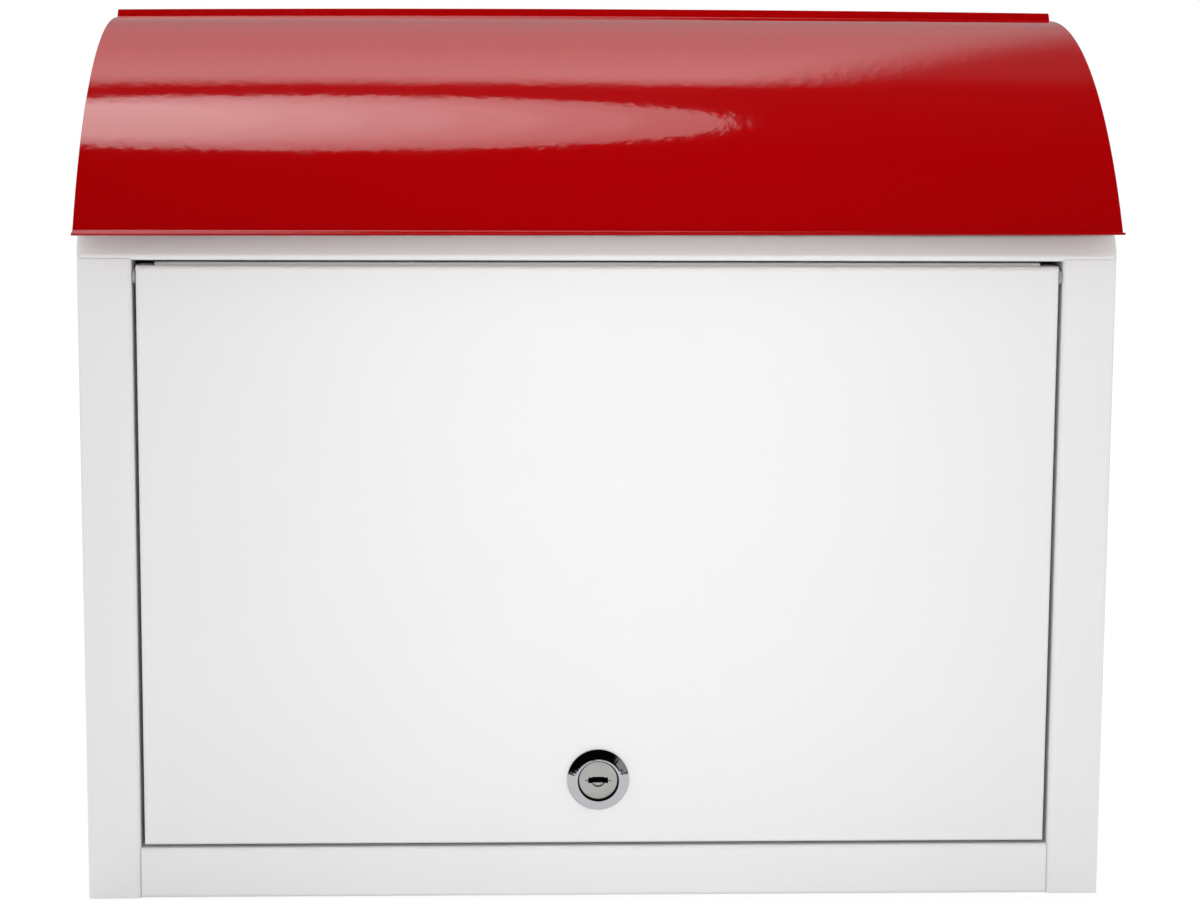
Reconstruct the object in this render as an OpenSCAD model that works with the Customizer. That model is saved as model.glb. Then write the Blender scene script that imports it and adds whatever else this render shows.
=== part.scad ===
// Wall mailbox: a folded steel box with a curved lid hinged at the back,
// and an inset front door that hangs from two pins and closes on a cam lock.
// The wall is the plane Y = 0, the front faces -Y, and Z is up.
// The origin is the middle of the four wall holes.

/* [Box] */
// Width over the side panels
box_w = 360; // [300:5:450]
// Depth from the wall to the front face
box_d = 135; // [125:1:180]
// Height of the front face, from the floor to the top of the jambs
front_h = 227.6; // [200:0.2:280]
// Thickness of the sheet steel
sheet = 1; // [0.8:0.1:1.2]
// Inside radius of a fold
fold_r = 0.6; // [0.4:0.1:1]
// Width of the jamb beside the door
jamb_w = 18.7; // [15:0.1:26]
// Depth of the jamb behind the front face
jamb_d = 13.5; // [13:0.1:18]
// Width of the flange that stops the door
stop_w = 8; // [5:0.5:12]
// Height of the lower front rail
low_rail_h = 18.2; // [14:0.2:26]
// Depth of the lower front rail's lip
low_lip_d = 14.5; // [13.6:0.1:20]
// Height of the down-turned edge that the cam catches
catch_h = 8.2; // [6:0.2:12]
// Height of the flanges round the floor
floor_flange = 12; // [8:1:20]

/* [Upper rail] */
// How far the upper rail drops below the tops of the jambs
rail_drop = 0.6; // [0.4:0.1:1.2]
// Width of its sloping face
rail_face = 6.6; // [4:0.2:12]
// Slope of its face above level
rail_slope = 61; // [50:1:75]
// Depth of its lower flange
rail_flange = 11.5; // [8:0.5:16]
// Depth of its top flange
rail_top = 8; // [5:0.5:12]

/* [Mail chute] */
// Slope of the plate that guides the mail forwards
chute_slope = 20; // [12:1:24]
// Height of the plate's fastening edge on the back panel
chute_edge = 10; // [8:0.5:16]
// Opening left between the chute and the upper rail
throat = 35; // [30:1:42]
// Height of the front hem and the side flanges
chute_hem = 8; // [5:0.5:12]

/* [Lid] */
// Height of the lid's crest above the floor
crest_h = 309.4; // [285:0.2:340]
// How far the lid's edge stands out over each side panel
lid_over = 0.3; // [0.1:0.1:2]
// How far the dome reaches out in front of the box
dome_reach = 6.1; // [4:0.1:12]
// How far the dome's lower edge stays above the jambs
dome_lift = 10.4; // [8:0.2:16]
// Length of the front lip
lip_l = 3.6; // [2:0.1:8]
// Fold between the dome and the front lip
lip_turn = 45; // [30:5:55]
// Flat behind the crest, above the hinge
rear_flat = 3; // [2:0.2:6]
// Length of the upturned rear edge
upstand_l = 3.6; // [2:0.1:4]
// Angle of the upturned edge above level
upstand_turn = 50; // [35:1:60]
// Space between the crests of the side panels and of the lid
crest_gap = 4.5; // [3:0.1:8]

/* [Lid hinge] */
// Distance from the wall to the hinge axis
axis_off = 8.5; // [8.2:0.1:14]
// Radius of a knuckle
knuckle_r = 2.5; // [2.2:0.1:3]
// Radius of the hinge pin
hinge_pin_r = 1.2; // [1:0.1:1.4]
// Thickness of a hinge leaf
leaf_t = 1; // [0.8:0.1:1.2]
// Length of the hinge
leaf_l = 350; // [250:5:350]
// Height of the fixed leaf below the axis
leaf_drop = 17; // [14:0.5:20]
// Depth of the moving leaf in front of the axis
leaf_reach = 16; // [12:0.5:22]
// Number of knuckles
knuckles = 14; // [10:1:20]
// Gap between neighbouring knuckles
knuckle_gap = 0.4; // [0.2:0.1:0.8]
// Number of rivets through the fixed leaf
rivets = 6; // [4:1:8]
// Radius of a rivet
rivet_r = 1.6; // [1.2:0.1:2]
// Lid bumper's place along the side panel, in front of the wall
bumper_y = 75; // [60:1:95]
// Radius of a lid bumper
bumper_r = 4; // [3:0.1:5]

/* [Door] */
// Gap at each side of the door
door_gap = 1.3; // [1:0.1:2]
// Gap above the door
door_top_gap = 1.4; // [1:0.1:2.5]
// Gap below the door
door_low_gap = 1.2; // [1:0.1:2.5]
// Depth of the flange round the door
door_flange = 10.5; // [9:0.1:11]
// Door axis behind the front face
door_axis_in = 3.5; // [3:0.1:5]
// Door axis below the door's top edge
door_axis_drop = 4.3; // [3.6:0.1:7]
// Radius of a door pin
door_pin_r = 1.5; // [1:0.1:2]
// Radius of the spacer washer on a door pin
spacer_r = 2.6; // [2.2:0.1:3.5]
// Radius of a rubber door pad
pad_r = 3.5; // [2.5:0.1:4]

/* [Lock] */
// Lock axis beside the middle of the door
lock_x = 0.5; // [-20:0.5:20]
// Lock axis above the lower front rail
lock_rise = 24.6; // [18:0.2:40]
// Radius of the lock's face ring
ring_r = 11; // [10.5:0.1:13]
// How far the face ring stands out from the door
ring_h = 2.8; // [2.2:0.1:3.5]
// Radius of the threaded barrel
barrel_r = 9.4; // [8.6:0.1:9.8]
// Width across the barrel's flats
barrel_flats = 16; // [14.8:0.2:17]
// Length of the barrel behind the front face
barrel_l = 15.6; // [15.6:0.1:22]
// Radius of the key plug
plug_r = 7.25; // [6:0.05:7.4]
// Length of the cam from its axis to its tip
cam_l = 33; // [31:0.5:36]
// Width of the cam's arm
cam_w = 12; // [9:0.5:15]
// Thickness of the cam
cam_t = 2; // [1.5:0.1:3]
// Width across the flats of the lock nut
nut_flats = 22; // [21:0.5:26]
// Thickness of the lock nut
nut_t = 4; // [3:0.5:6]
// Radius of the cam screw
cam_screw_r = 2; // [1.5:0.1:2.2]

/* [Wall holes] */
// Sideways distance between the wall holes
wall_pitch_x = 260; // [200:5:300]
// Upward distance between the wall holes
wall_pitch_z = 120; // [100:5:160]
// Radius of a wall hole
wall_hole_r = 3.5; // [2.5:0.1:5]
// Height of the middle of the wall holes above the floor
wall_mid_z = 145; // [120:1:160]

/* [Hidden] */
$fn = 64;
white = [0.90, 0.91, 0.91];
red = [0.62, 0.01, 0.03];
steel = [0.62, 0.63, 0.65];
chrome = [0.78, 0.79, 0.80];
rubber = [0.08, 0.08, 0.08];
nylon = [0.55, 0.55, 0.55];
// Clearance between pieces that are welded or pressed together
seat = 0.05;
// Running clearance of a pin in its hole
run = 0.06;
// Margin by which a cutting shape passes through what it cuts
cut = 1;
// Outside radius of a fold
fold_o = sheet + fold_r;
// Steps round a fold and round a wide arc, in degrees, and where an arc counts as wide
fold_step = 10;
fine_step = 1;
wide_r = 20;

front_y = -box_d;
side_x = box_w / 2;
inner_x = side_x - sheet - seat;
weld_x = side_x - fold_o;
opening_w = box_w - 2 * jamb_w;
rail_z = front_h - rail_drop;

axis_y = -axis_off;
axis_z = crest_h - sheet - seat - knuckle_r;
joggle = axis_off - knuckle_r - sheet;
joggle_turn = 45;
joggle_drop = 28;
joggle_z = axis_z - joggle_drop;
joggle_run = (joggle - (fold_o + fold_r) * (1 - cos(joggle_turn))) / sin(joggle_turn);
joggle_rise = (fold_o + fold_r) * sin(joggle_turn) + joggle_run * cos(joggle_turn);
// Room for the turning lid behind its axis, over the back panel and at the side panels
back_clear = 3.8;
side_clear = 5.4;
notch_ahead = 2;
back_top = axis_z - back_clear;
side_back_top = axis_z - side_clear;

// The dome is an arc through the crest and the front edge, level at the crest
dome_y = axis_y - rear_flat;
dome_run = dome_y - front_y + dome_reach;
dome_fall = crest_h - front_h - dome_lift;
dome_r = (dome_run ^ 2 + dome_fall ^ 2) / (2 * dome_fall);
dome_z = crest_h - dome_r;
dome_sweep = atan2(dome_run, dome_r - dome_fall);
under_r = dome_r - sheet;

// The side panels' tops are an arc from the jamb up to a crest under the lid's
panel_y = -4;
panel_run = panel_y - front_y;
panel_fall = crest_h - crest_gap - front_h;
panel_r = (panel_run ^ 2 + panel_fall ^ 2) / (2 * panel_fall);
panel_z = front_h + panel_fall - panel_r;
tab_turn = asin((panel_y + bumper_y) / panel_r);
tab_w = 14;
tab_l = 22;
tab_sink = 0.5;
// Space between the closed lid and its bumpers
bumper_play = 0.4;
tab_x = side_x - tab_w + bumper_r;
tab_foot = panel_r - tab_sink;
bumper_at = [panel_y - tab_foot * sin(tab_turn), panel_z + tab_foot * cos(tab_turn)];
bumper_h = under_r - norm(bumper_at - [dome_y, dome_z]) - bumper_play;

door_w = opening_w - 2 * door_gap;
door_z0 = low_rail_h + door_low_gap;
door_z1 = rail_z - door_top_gap;
door_axis = [front_y + door_axis_in, door_z1 - door_axis_drop];
stop_short = 18;
stop_top = door_axis[1] - stop_short;
pad_inset = 15;
pad_play = 0.2;

lock_z = low_rail_h + lock_rise;
cam_at = barrel_l + seat;
cam_hub_r = 8;
tail_r = 4;
tail_flats = 5.6;
washer_t = 0.6;
stop_washer_t = 0.8;
key_slot = [7, 2, 11];

chute_z = joggle_z - 1;
chute_back = sheet + seat;
chute_front = box_d - fold_o - rail_flange - throat;
chute_turn = 90 - chute_slope;
chute_fold_y = fold_o * (1 - cos(chute_turn));
chute_fold_z = fold_o * sin(chute_turn);
chute_run = (chute_front - chute_back - chute_fold_y) / cos(chute_slope);

// Moves what is drawn from the floor and the wall to the middle of the wall holes
module on_wall() {
    translate([0, 0, -wall_mid_z])
        children();
}

// Extrudes an outline drawn in Y and Z along X, centred on the box
module along_x(length) {
    translate([-length / 2, 0, 0])
        rotate([90, 0, 90])
            linear_extrude(length)
                children();
}

// Draws an outline with its first axis pointing forwards from the wall
module forwards() {
    mirror([1, 0])
        children();
}

// Copies a piece to both sides
module both_sides() {
    children();
    mirror([1, 0, 0])
        children();
}

function ahead(heading) = [cos(heading), sin(heading)];
function leftward(heading) = [-sin(heading), cos(heading)];

// Points of one face of a folded sheet, off to the left of the face that it is
// measured on. A fold turns about a centre on its inside, in short straight steps
function sheet_face(steps, t, off, i = 0, at = [0, 0], heading = 0) =
    i == len(steps) ? [at + off * leftward(heading)] :
    let (turn = steps[i][1],
         r = steps[i][2],
         side = turn < 0 ? -1 : 1,
         base_r = turn < 0 ? r : r + t,
         corner = at + steps[i][0] * ahead(heading),
         centre = corner + side * base_r * leftward(heading),
         parts = max(1, ceil(abs(turn) / (r > wide_r ? fine_step : fold_step))),
         fold = [for (k = [1 : parts])
                 let (now = heading + turn * k / parts)
                 centre + (off - side * base_r) * leftward(now)],
         end = centre - side * base_r * leftward(heading + turn))
    concat([at + off * leftward(heading), corner + off * leftward(heading)],
           turn == 0 ? [] : [for (k = [0 : parts - 2]) fold[k]],
           sheet_face(steps, t, off, i + 1, turn == 0 ? corner : end, heading + turn));

function backwards(list) = [for (i = [len(list) - 1 : -1 : 0]) list[i]];

// The edge view of a folded sheet. Each step is a straight length, the fold after it
// in degrees, to the left if positive, and the fold's inside radius
module fold_strip(steps, t = sheet) {
    polygon(concat(sheet_face(steps, t, 0), backwards(sheet_face(steps, t, t))));
}

// A rectangle with round corners
module round_rect(low, high, r) {
    size = high - low;
    translate(low + [r, 0])
        square([size[0] - 2 * r, size[1]]);
    translate(low + [0, r])
        square([size[0], size[1] - 2 * r]);
    for (x = [low[0] + r, high[0] - r], y = [low[1] + r, high[1] - r])
        translate([x, y])
            circle(r = r);
}

// A rod along X
module x_rod(x0, x1, y, z, r) {
    translate([x0, y, z])
        rotate([0, 90, 0])
            cylinder(h = x1 - x0, r = r);
}

// A rod along Y
module y_rod(x, y0, y1, z, r0, r1) {
    translate([x, y0, z])
        rotate([-90, 0, 0])
            cylinder(h = y1 - y0, r1 = r0, r2 = r1);
}

// Half of the box seen from above: back, side, jamb, return and door stop
module half_wrap() {
    translate([0, -sheet])
        fold_strip([[side_x - fold_o, -90, fold_r],
                    [box_d - 2 * fold_o, -90, fold_r],
                    [jamb_w - 2 * fold_o, -90, fold_r],
                    [jamb_d - 2 * fold_o, 90, fold_r],
                    [stop_w, 0, 0]]);
}

// Outline of a side panel, with its arched top and the notch behind the lid's hinge
module side_outline() {
    notch_y = axis_y - notch_ahead;
    translate([front_y, 0])
        square([box_d, front_h]);
    intersection() {
        translate([panel_y, panel_z])
            circle(r = panel_r, $fn = 180);
        translate([front_y, front_h - cut])
            square([notch_y - front_y, panel_r]);
    }
    translate([notch_y - cut, 0])
        square([cut - notch_y, side_back_top]);
}

// Inward tab on a side panel's top edge, which carries a lid bumper
module rest_tab() {
    translate([side_x - tab_w, 0, 0])
        rotate([90, 0, 90])
            linear_extrude(tab_w - sheet / 2)
                translate([panel_y, panel_z])
                    rotate(tab_turn)
                        translate([-tab_l / 2, panel_r - tab_sink - sheet])
                            square([tab_l, sheet]);
}

// Places a piece on the rest tab, pointing away from it
module at_rest_tab() {
    translate([tab_x, bumper_at[0], bumper_at[1]])
        rotate([tab_turn, 0, 0])
            children();
}

module wall_holes() {
    for (x = [-wall_pitch_x / 2, wall_pitch_x / 2], z = [-wall_pitch_z / 2, wall_pitch_z / 2])
        y_rod(x, -sheet - cut, cut, wall_mid_z + z, wall_hole_r, wall_hole_r);
}

function rivet_x(i) = leaf_l * ((i + 0.5) / rivets - 0.5);
rivet_share = 0.62;
rivet_z = axis_z - leaf_drop * rivet_share;

module rivet_holes() {
    for (i = [0 : rivets - 1])
        y_rod(rivet_x(i), axis_y - cut, 0, rivet_z, rivet_r + seat, rivet_r + seat);
}

// Back, sides and jambs, with every edge cut to its height
module wrap() {
    inside = side_x - sheet;
    difference() {
        intersection() {
            both_sides()
                linear_extrude(crest_h)
                    half_wrap();
            along_x(box_w + 2 * cut)
                side_outline();
        }
        // The flat back ends where the offset strip begins
        translate([-inside, -fold_o, joggle_z])
            cube([2 * inside, fold_o + cut, crest_h]);
        // The jambs end level with the front face
        translate([-inside, front_y - cut, front_h])
            cube([2 * inside, jamb_d + 2 * cut, crest_h]);
        // The door stops are cut back at the rail and below the door pins
        translate([-opening_w / 2, front_y, -cut])
            cube([opening_w, jamb_d + cut, low_rail_h + door_low_gap + cut]);
        translate([-opening_w / 2, front_y, stop_top])
            cube([opening_w, jamb_d + cut, crest_h]);
    }
}

// The back panel's top edge, set forwards so that the hinge clears the wall
module offset_edge() {
    along_x(2 * weld_x)
        translate([0, joggle_z - chute_edge])
            rotate(90)
                fold_strip([[chute_edge, joggle_turn, fold_r],
                            [joggle_run, -joggle_turn, fold_r],
                            [back_top - joggle_z - joggle_rise, 0, 0]]);
}

module body_shell() {
    inside = side_x - sheet;
    color(white) on_wall() difference() {
        union() {
            wrap();
            offset_edge();
            both_sides()
                rest_tab();
        }
        wall_holes();
        rivet_holes();
        x_rod(-inside, inside, door_axis[0], door_axis[1], door_pin_r + run);
        both_sides()
            at_rest_tab()
                translate([0, 0, -sheet - cut])
                    cylinder(h = sheet + 2 * cut, r = bumper_r / 2 + seat);
    }
}

module bottom_pan() {
    color(white) on_wall() difference() {
        union() {
            along_x(2 * weld_x)
                forwards()
                    translate([sheet + seat, floor_flange])
                        rotate(-90)
                            fold_strip([[floor_flange - fold_o, 90, fold_r],
                                        [box_d - sheet - seat - 2 * fold_o, 90, fold_r],
                                        [low_rail_h - 2 * fold_o, 90, fold_r],
                                        [low_lip_d - 2 * fold_o, 90, fold_r],
                                        [catch_h - fold_o, 0, 0]]);
            both_sides()
                translate([weld_x - sheet, front_y + jamb_d + 2 * sheet, 0])
                    cube([sheet, box_d - jamb_d - 4 * sheet, floor_flange]);
        }
        // The rail is cut off at the jambs, and the floor is slotted round them
        both_sides() {
            translate([opening_w / 2 - seat, front_y - cut, sheet + seat])
                cube([jamb_w + cut, jamb_d + 2 * cut + seat, low_rail_h + 2 * cut]);
            translate([opening_w / 2 - seat, front_y - cut, -cut])
                cube([sheet + 2 * seat + fold_o, jamb_d + 2 * cut + seat, 3 * cut + sheet]);
            translate([opening_w / 2 - seat, front_y - cut, -cut])
                cube([jamb_w + cut, cut + fold_o + seat, 3 * cut + sheet]);
        }
    }
}

module top_rail() {
    color(white) on_wall() difference() {
        along_x(2 * inner_x)
            forwards()
                translate([box_d - fold_o - rail_flange, rail_z])
                    fold_strip([[rail_flange, 180 - rail_slope, fold_r],
                                [rail_face, rail_slope, fold_r],
                                [rail_top, 0, 0]]);
        // The lower flange fits between the jambs
        both_sides()
            translate([opening_w / 2 - seat, front_y - cut, rail_z - cut])
                cube([jamb_w, jamb_d + 2 * cut, rail_drop + cut + seat]);
    }
}

module mail_chute() {
    color(white) on_wall() {
        along_x(2 * weld_x)
            forwards()
                translate([chute_back, chute_z])
                    rotate(-90)
                        fold_strip([[chute_edge, chute_turn, fold_r],
                                    [chute_run, -chute_turn, fold_r],
                                    [chute_hem - fold_r, 0, 0]]);
        // Side flanges below the plate
        both_sides()
            translate([weld_x - sheet, 0, 0])
                rotate([90, 0, 90])
                    linear_extrude(sheet)
                        forwards()
                            translate([chute_back + chute_fold_y, chute_z - chute_edge - chute_fold_z])
                                rotate(-chute_slope)
                                    translate([chute_hem, sheet - chute_hem])
                                        square([chute_run - chute_hem, chute_hem]);
    }
}

knuckle_l = leaf_l / knuckles;

// Every second stretch of the hinge, starting from the first or the second
module knuckle_places(start) {
    for (i = [start : 2 : knuckles - 1])
        translate([i * knuckle_l - leaf_l / 2, 0, 0])
            children();
}

module knuckle_row(start) {
    knuckle_places(start)
        x_rod(knuckle_gap / 2, knuckle_l - knuckle_gap / 2, axis_y, axis_z, knuckle_r);
}

module hinge_bore() {
    x_rod(-leaf_l / 2 - cut, leaf_l / 2 + cut, axis_y, axis_z, hinge_pin_r + run);
}

module lid_hinge_fixed_leaf() {
    room = knuckle_r + knuckle_gap;
    color(steel) on_wall() difference() {
        union() {
            translate([-leaf_l / 2, axis_y + knuckle_r - leaf_t - seat, axis_z - leaf_drop])
                cube([leaf_l, leaf_t, leaf_drop]);
            knuckle_row(0);
        }
        knuckle_places(1)
            translate([-knuckle_gap / 2, axis_y - room, axis_z - room])
                cube([knuckle_l + knuckle_gap, 2 * room, 2 * room]);
        hinge_bore();
        rivet_holes();
    }
}

module lid_hinge_moving_leaf() {
    leaf_r = under_r - seat - leaf_t;
    room = knuckle_r + knuckle_gap;
    color(steel) on_wall() difference() {
        union() {
            along_x(leaf_l)
                forwards()
                    translate([axis_off, crest_h - sheet - seat - leaf_t])
                        fold_strip([[rear_flat, -asin((leaf_reach - rear_flat) / leaf_r), leaf_r]],
                                   leaf_t);
            knuckle_row(1);
        }
        knuckle_places(0)
            translate([-knuckle_gap / 2, axis_y - room, axis_z - room])
                cube([knuckle_l + knuckle_gap, 2 * room, 2 * room]);
        hinge_bore();
    }
}

module lid_hinge_pin() {
    color(steel) on_wall()
        x_rod(-leaf_l / 2 - knuckle_gap, leaf_l / 2 + knuckle_gap, axis_y, axis_z, hinge_pin_r);
}

module lid_hinge_rivets() {
    head_t = 1;
    head_r = [rivet_r * 1.3, rivet_r * 1.9];
    tail_t = 0.8;
    tail_r = [rivet_r * 1.5, rivet_r * 1.2];
    leaf_y = axis_y + knuckle_r - leaf_t - seat;
    color(steel) on_wall()
        for (i = [0 : rivets - 1]) {
            y_rod(rivet_x(i), leaf_y - head_t, leaf_y, rivet_z, head_r[0], head_r[1]);
            y_rod(rivet_x(i), leaf_y - head_t, tail_t / 2 - joggle, rivet_z, rivet_r, rivet_r);
            y_rod(rivet_x(i), -joggle, tail_t - joggle, rivet_z, tail_r[0], tail_r[1]);
        }
}

module lid_bumpers() {
    top_r = bumper_r * 0.8;
    barb_l = 2;
    barb_r = [bumper_r * 0.4, bumper_r * 0.65];
    color(rubber) on_wall() both_sides() at_rest_tab() {
        translate([0, 0, seat])
            cylinder(h = bumper_h, r1 = bumper_r, r2 = top_r);
        translate([0, 0, -sheet - seat])
            cylinder(h = sheet + 3 * seat, r = bumper_r / 2);
        translate([0, 0, -sheet - barb_l])
            cylinder(h = barb_l - seat, r1 = barb_r[0], r2 = barb_r[1]);
    }
}

// Rubber pads on the door stops
module door_pads() {
    pad_t = jamb_d - sheet - door_flange - pad_play;
    pad_taper = 0.85;
    pad_y = front_y + jamb_d - sheet;
    pad_x = opening_w / 2 - fold_r - stop_w / 2;
    color(rubber) on_wall() both_sides()
        for (z = [door_z0 + pad_inset, stop_top - pad_inset])
            y_rod(pad_x, pad_y - pad_t, pad_y, z, pad_r * pad_taper, pad_r);
}

// From the upturned rear edge forwards over the dome to the lip
module lid_outline() {
    upstand_y = upstand_l * cos(upstand_turn) + fold_o * sin(upstand_turn);
    upstand_z = upstand_l * sin(upstand_turn) + fold_o * (1 - cos(upstand_turn));
    forwards()
        translate([axis_off - upstand_y, crest_h - sheet + upstand_z])
            rotate(-upstand_turn)
                fold_strip([[upstand_l, upstand_turn, fold_r],
                            [rear_flat, -dome_sweep, under_r],
                            [0, lip_turn, fold_r],
                            [lip_l, 0, 0]]);
}

module lid_cover() {
    color(red) on_wall()
        along_x(box_w + 2 * lid_over)
            lid_outline();
}

// The outside of the door's tray, or its inside when it is drawn one sheet smaller
module door_block(inset, r) {
    low = [inset - door_w / 2, front_y + inset, door_z0 + inset];
    high = [door_w / 2 - inset, front_y + 2 * jamb_d, door_z1 - inset];
    intersection() {
        translate([0, 0, low[2]])
            linear_extrude(high[2] - low[2])
                round_rect([low[0], low[1]], [high[0], high[1]], r);
        along_x(high[0] - low[0])
            round_rect([low[1], low[2]], [high[1], high[2]], r);
    }
}

// Places a piece on the lock's axis, with its own Z pointing into the box
module at_lock() {
    translate([lock_x, front_y, lock_z])
        rotate([-90, 0, 0])
            children();
}

// A rod with two flats
module flat_rod(h, r, flats) {
    linear_extrude(h)
        intersection() {
            circle(r = r);
            square([2 * r, flats], center = true);
        }
}

module door_panel() {
    color(white) on_wall() difference() {
        door_block(0, fold_o);
        door_block(sheet, fold_r);
        translate([-side_x, front_y + door_flange, 0])
            cube([box_w, box_d, front_h]);
        at_lock()
            translate([0, 0, -cut])
                flat_rod(sheet + 2 * cut, barrel_r + seat, barrel_flats + 2 * seat);
        x_rod(-side_x, side_x, door_axis[0], door_axis[1], door_pin_r + seat);
    }
}

// Headed pin through the door's flange, a spacer and the jamb
module door_pin() {
    head_t = 1.2;
    head_r = door_pin_r * 1.3;
    head_x = door_w / 2 - sheet - seat;
    x_rod(head_x - head_t, head_x, door_axis[0], door_axis[1], head_r);
    x_rod(head_x - head_t, opening_w / 2 + sheet + head_t, door_axis[0], door_axis[1], door_pin_r);
}

module spacer_washer() {
    slack = 0.15;
    difference() {
        x_rod(door_w / 2 + slack, opening_w / 2 - slack, door_axis[0], door_axis[1], spacer_r);
        x_rod(door_w / 2, opening_w / 2, door_axis[0], door_axis[1], door_pin_r + seat);
    }
}

module door_pin_right() {
    color(steel) on_wall()
        door_pin();
}

module door_pin_left() {
    color(steel) on_wall()
        mirror([1, 0, 0])
            door_pin();
}

module spacer_washer_right() {
    color(nylon) on_wall()
        spacer_washer();
}

module spacer_washer_left() {
    color(nylon) on_wall()
        mirror([1, 0, 0])
            spacer_washer();
}

module lock_housing() {
    bore_r = plug_r + run;
    rim_t = 0.7;
    lip_w = 0.5;
    color(chrome) on_wall() at_lock() {
        // The face ring slopes up from a thin rim to a narrow lip round the plug
        rotate_extrude()
            polygon([[bore_r, 0], [ring_r, 0], [ring_r, -rim_t],
                     [bore_r + lip_w, -ring_h], [bore_r, -ring_h]]);
        difference() {
            flat_rod(barrel_l, barrel_r, barrel_flats);
            translate([0, 0, -cut])
                cylinder(h = barrel_l + 2 * cut, r = bore_r);
        }
    }
}

module lock_tooth_washer() {
    rim_w = 2.4;
    teeth = 12;
    gap = [1.2, 1.1];
    color(steel) on_wall() at_lock()
        translate([0, 0, sheet])
            difference() {
                cylinder(h = washer_t, r = barrel_r + rim_w);
                translate([0, 0, -cut])
                    cylinder(h = washer_t + 2 * cut, r = barrel_r + run);
                for (i = [0 : teeth - 1])
                    rotate(i * 360 / teeth)
                        translate([barrel_r, -gap[1] / 2, -cut])
                            cube([gap[0], gap[1], washer_t + 2 * cut]);
            }
}

module lock_nut() {
    face_over = 0.4;
    color(steel) on_wall() at_lock()
        translate([0, 0, sheet + washer_t])
            difference() {
                intersection() {
                    cylinder(h = nut_t, r = nut_flats / sqrt(3), $fn = 6);
                    cylinder(h = nut_t, r1 = nut_flats / 2 + nut_t, r2 = nut_flats / 2 + face_over);
                }
                translate([0, 0, -cut])
                    cylinder(h = nut_t + 2 * cut, r = barrel_r + run);
            }
}

module lock_plug() {
    face_z = -1.4;
    dimple_r = 2.3;
    dimple_d = 0.8;
    groove = [9.3, 0.5, 0.4];
    tail_l = cam_t + stop_washer_t / 2;
    bore_l = 3;
    color(chrome) on_wall() at_lock() difference() {
        union() {
            translate([0, 0, face_z])
                cylinder(h = barrel_l - face_z, r = plug_r);
            translate([0, 0, barrel_l])
                flat_rod(tail_l, tail_r, tail_flats);
        }
        translate([0, 0, face_z + key_slot[2] / 2 - cut / 2])
            cube([key_slot[0], key_slot[1], key_slot[2] + cut], center = true);
        translate([0, 0, face_z - cut])
            cylinder(h = dimple_d + cut, r = dimple_r);
        translate([0, 0, face_z])
            cube([groove[0], groove[1], 2 * groove[2]], center = true);
        translate([0, 0, barrel_l - bore_l])
            cylinder(h = tail_l + bore_l + cut, r = cam_screw_r + seat);
    }
}

module lock_cam() {
    tip_r = cam_w / 2;
    color(steel) on_wall() at_lock()
        translate([0, 0, cam_at])
            difference() {
                linear_extrude(cam_t) {
                    circle(r = cam_hub_r);
                    translate([0, -cam_w / 2])
                        square([cam_l - tip_r, cam_w]);
                    translate([cam_l - tip_r, 0])
                        circle(r = tip_r);
                }
                translate([0, 0, -cut])
                    flat_rod(cam_t + 2 * cut, tail_r + seat, tail_flats + 2 * seat);
            }
}

module cam_stop_washer() {
    rim_r = cam_hub_r - 1;
    stop = [cam_hub_r + 1.5, 4];
    color(steel) on_wall() at_lock()
        translate([0, 0, cam_at + cam_t + seat])
            difference() {
                linear_extrude(stop_washer_t) {
                    circle(r = rim_r);
                    translate([-stop[0], -stop[1] / 2])
                        square([cam_hub_r, stop[1]]);
                }
                translate([0, 0, -cut])
                    flat_rod(stop_washer_t + 2 * cut, tail_r + seat, tail_flats + 2 * seat);
            }
}

module cam_screw() {
    head_r = [3.6, 3.1];
    head_t = 2.6;
    reach = 2.6;
    slot = [1, 1.2];
    head_z = cam_at + cam_t + stop_washer_t + 2 * seat;
    color(steel) on_wall() at_lock() difference() {
        union() {
            translate([0, 0, barrel_l - reach])
                cylinder(h = head_z - barrel_l + reach, r = cam_screw_r);
            translate([0, 0, head_z])
                cylinder(h = head_t, r1 = head_r[0], r2 = head_r[1]);
        }
        translate([0, 0, head_z + head_t])
            cube([3 * head_r[0], slot[0], 2 * slot[1]], center = true);
    }
}

body_shell();
bottom_pan();
top_rail();
mail_chute();
lid_hinge_fixed_leaf();
lid_hinge_pin();
lid_hinge_rivets();
lid_bumpers();
door_pads();
lid_cover();
lid_hinge_moving_leaf();
door_panel();
door_pin_left();
door_pin_right();
spacer_washer_left();
spacer_washer_right();
lock_housing();
lock_tooth_washer();
lock_nut();
lock_plug();
lock_cam();
cam_stop_washer();
cam_screw();
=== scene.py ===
import math

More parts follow.
